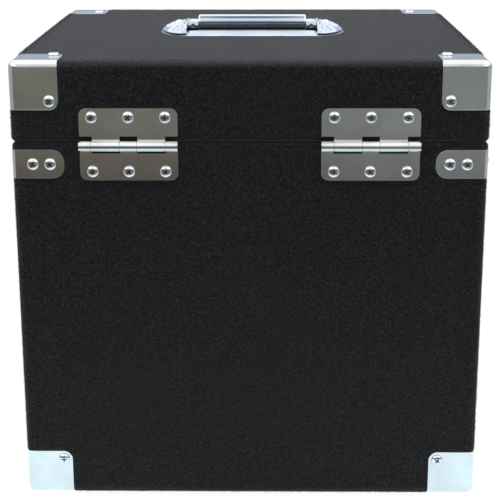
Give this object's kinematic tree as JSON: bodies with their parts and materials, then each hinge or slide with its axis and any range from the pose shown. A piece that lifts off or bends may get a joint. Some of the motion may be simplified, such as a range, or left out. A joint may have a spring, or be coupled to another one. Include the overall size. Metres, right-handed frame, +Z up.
{
  "type": "record carrying case",
  "caption": "Carpet-covered plywood carrying case for records, with a hinged lid, draw latches, steel corners and brackets, rubber feet and a folding top handle.",
  "frame": {"origin": "on the floor plane under the middle of the whole object, which stands on its four feet", "axes": "+Z up; -Y towards the side with the latches and +Y towards the side with the hinges; +X to the right of someone who faces the latches"},
  "size_m": [0.3672, 0.3755, 0.3732],
  "materials": {
    "carpet": "short black needle-punched pile",
    "plywood": "bare birch plywood",
    "foam": "dark grey foam sheet",
    "foot_rubber": "matte black rubber",
    "nickel": "bright nickel-plated sheet steel",
    "handle_chrome": "polished chrome",
    "zinc_steel": "zinc-plated steel"
  },
  "bodies": {
    "body": {"body_front_panel": "plywood", "body_back_panel": "plywood", "body_left_panel": "plywood", "body_right_panel": "plywood", "body_floor_panel": "plywood", "body_carpet": "carpet", "floor_pad": "foam", "front_left_foot": "foot_rubber", "front_right_foot": "foot_rubber", "back_left_foot": "foot_rubber", "back_right_foot": "foot_rubber", "body_front_left_cap": "nickel", "body_front_right_cap": "nickel", "body_back_left_cap": "nickel", "body_back_right_cap": "nickel", "front_left_bracket": "nickel", "front_right_bracket": "nickel", "back_left_bracket": "nickel", "back_right_bracket": "nickel", "left_hinge_body_leaf": "nickel", "right_hinge_body_leaf": "nickel", "left_hinge_pin": "zinc_steel", "right_hinge_pin": "zinc_steel", "left_latch_base": "nickel", "right_latch_base": "nickel", "left_latch_lever_pin": "zinc_steel", "right_latch_lever_pin": "zinc_steel"},
    "lid": {"lid_front_rail": "plywood", "lid_back_rail": "plywood", "lid_left_rail": "plywood", "lid_right_rail": "plywood", "lid_top_panel": "plywood", "lid_carpet": "carpet", "lid_pad": "foam", "lid_front_left_cap": "nickel", "lid_front_right_cap": "nickel", "lid_back_left_cap": "nickel", "lid_back_right_cap": "nickel", "left_hinge_lid_leaf": "nickel", "right_hinge_lid_leaf": "nickel", "left_latch_keeper": "nickel", "right_latch_keeper": "nickel", "handle_plate": "handle_chrome", "handle_left_end": "handle_chrome", "handle_right_end": "handle_chrome", "handle_left_bolt": "handle_chrome", "handle_right_bolt": "handle_chrome", "handle_left_nut": "zinc_steel", "handle_right_nut": "zinc_steel", "handle_left_pin": "zinc_steel", "handle_right_pin": "zinc_steel"},
    "handle_bail": {"handle_left_arm": "handle_chrome", "handle_right_arm": "handle_chrome", "handle_grip": "handle_chrome"},
    "left_lever": {"left_latch_lever": "nickel", "left_latch_loop_pin": "zinc_steel"},
    "right_lever": {"right_latch_lever": "nickel", "right_latch_loop_pin": "zinc_steel"},
    "left_loop": {"left_latch_loop": "nickel"},
    "right_loop": {"right_latch_loop": "nickel"}
  },
  "joints": [
    {"name": "lid_hinge", "type": "hinge", "parent": "body", "child": "lid", "pos_m": [0, 0.1837, 0.2945], "axis": [-1, 0, 0], "range_deg": [0, 180]},
    {"name": "handle_fold", "type": "hinge", "parent": "lid", "child": "handle_bail", "pos_m": [0, -0.0202, 0.3635], "axis": [1, 0, 0], "range_deg": [0, 90]},
    {"name": "left_latch", "type": "hinge", "parent": "body", "child": "left_lever", "pos_m": [-0.0935, -0.1811, 0.2826], "axis": [-1, 0, 0], "range_deg": [0, 110]},
    {"name": "right_latch", "type": "hinge", "parent": "body", "child": "right_lever", "pos_m": [0.0935, -0.1811, 0.2826], "axis": [-1, 0, 0], "range_deg": [0, 110]},
    {"name": "left_loop_turn", "type": "hinge", "parent": "left_lever", "child": "left_loop", "pos_m": [-0.0935, -0.18027, 0.27666], "axis": [-1, 0, 0], "range_deg": [-100, 0]},
    {"name": "right_loop_turn", "type": "hinge", "parent": "right_lever", "child": "right_loop", "pos_m": [0.0935, -0.18027, 0.27666], "axis": [-1, 0, 0], "range_deg": [-100, 0]}
  ],
  "couplings": [
    {"joint": "left_loop_turn", "follows": "left_latch", "ratio": -0.88},
    {"joint": "right_loop_turn", "follows": "right_latch", "ratio": -0.88}
  ]
}
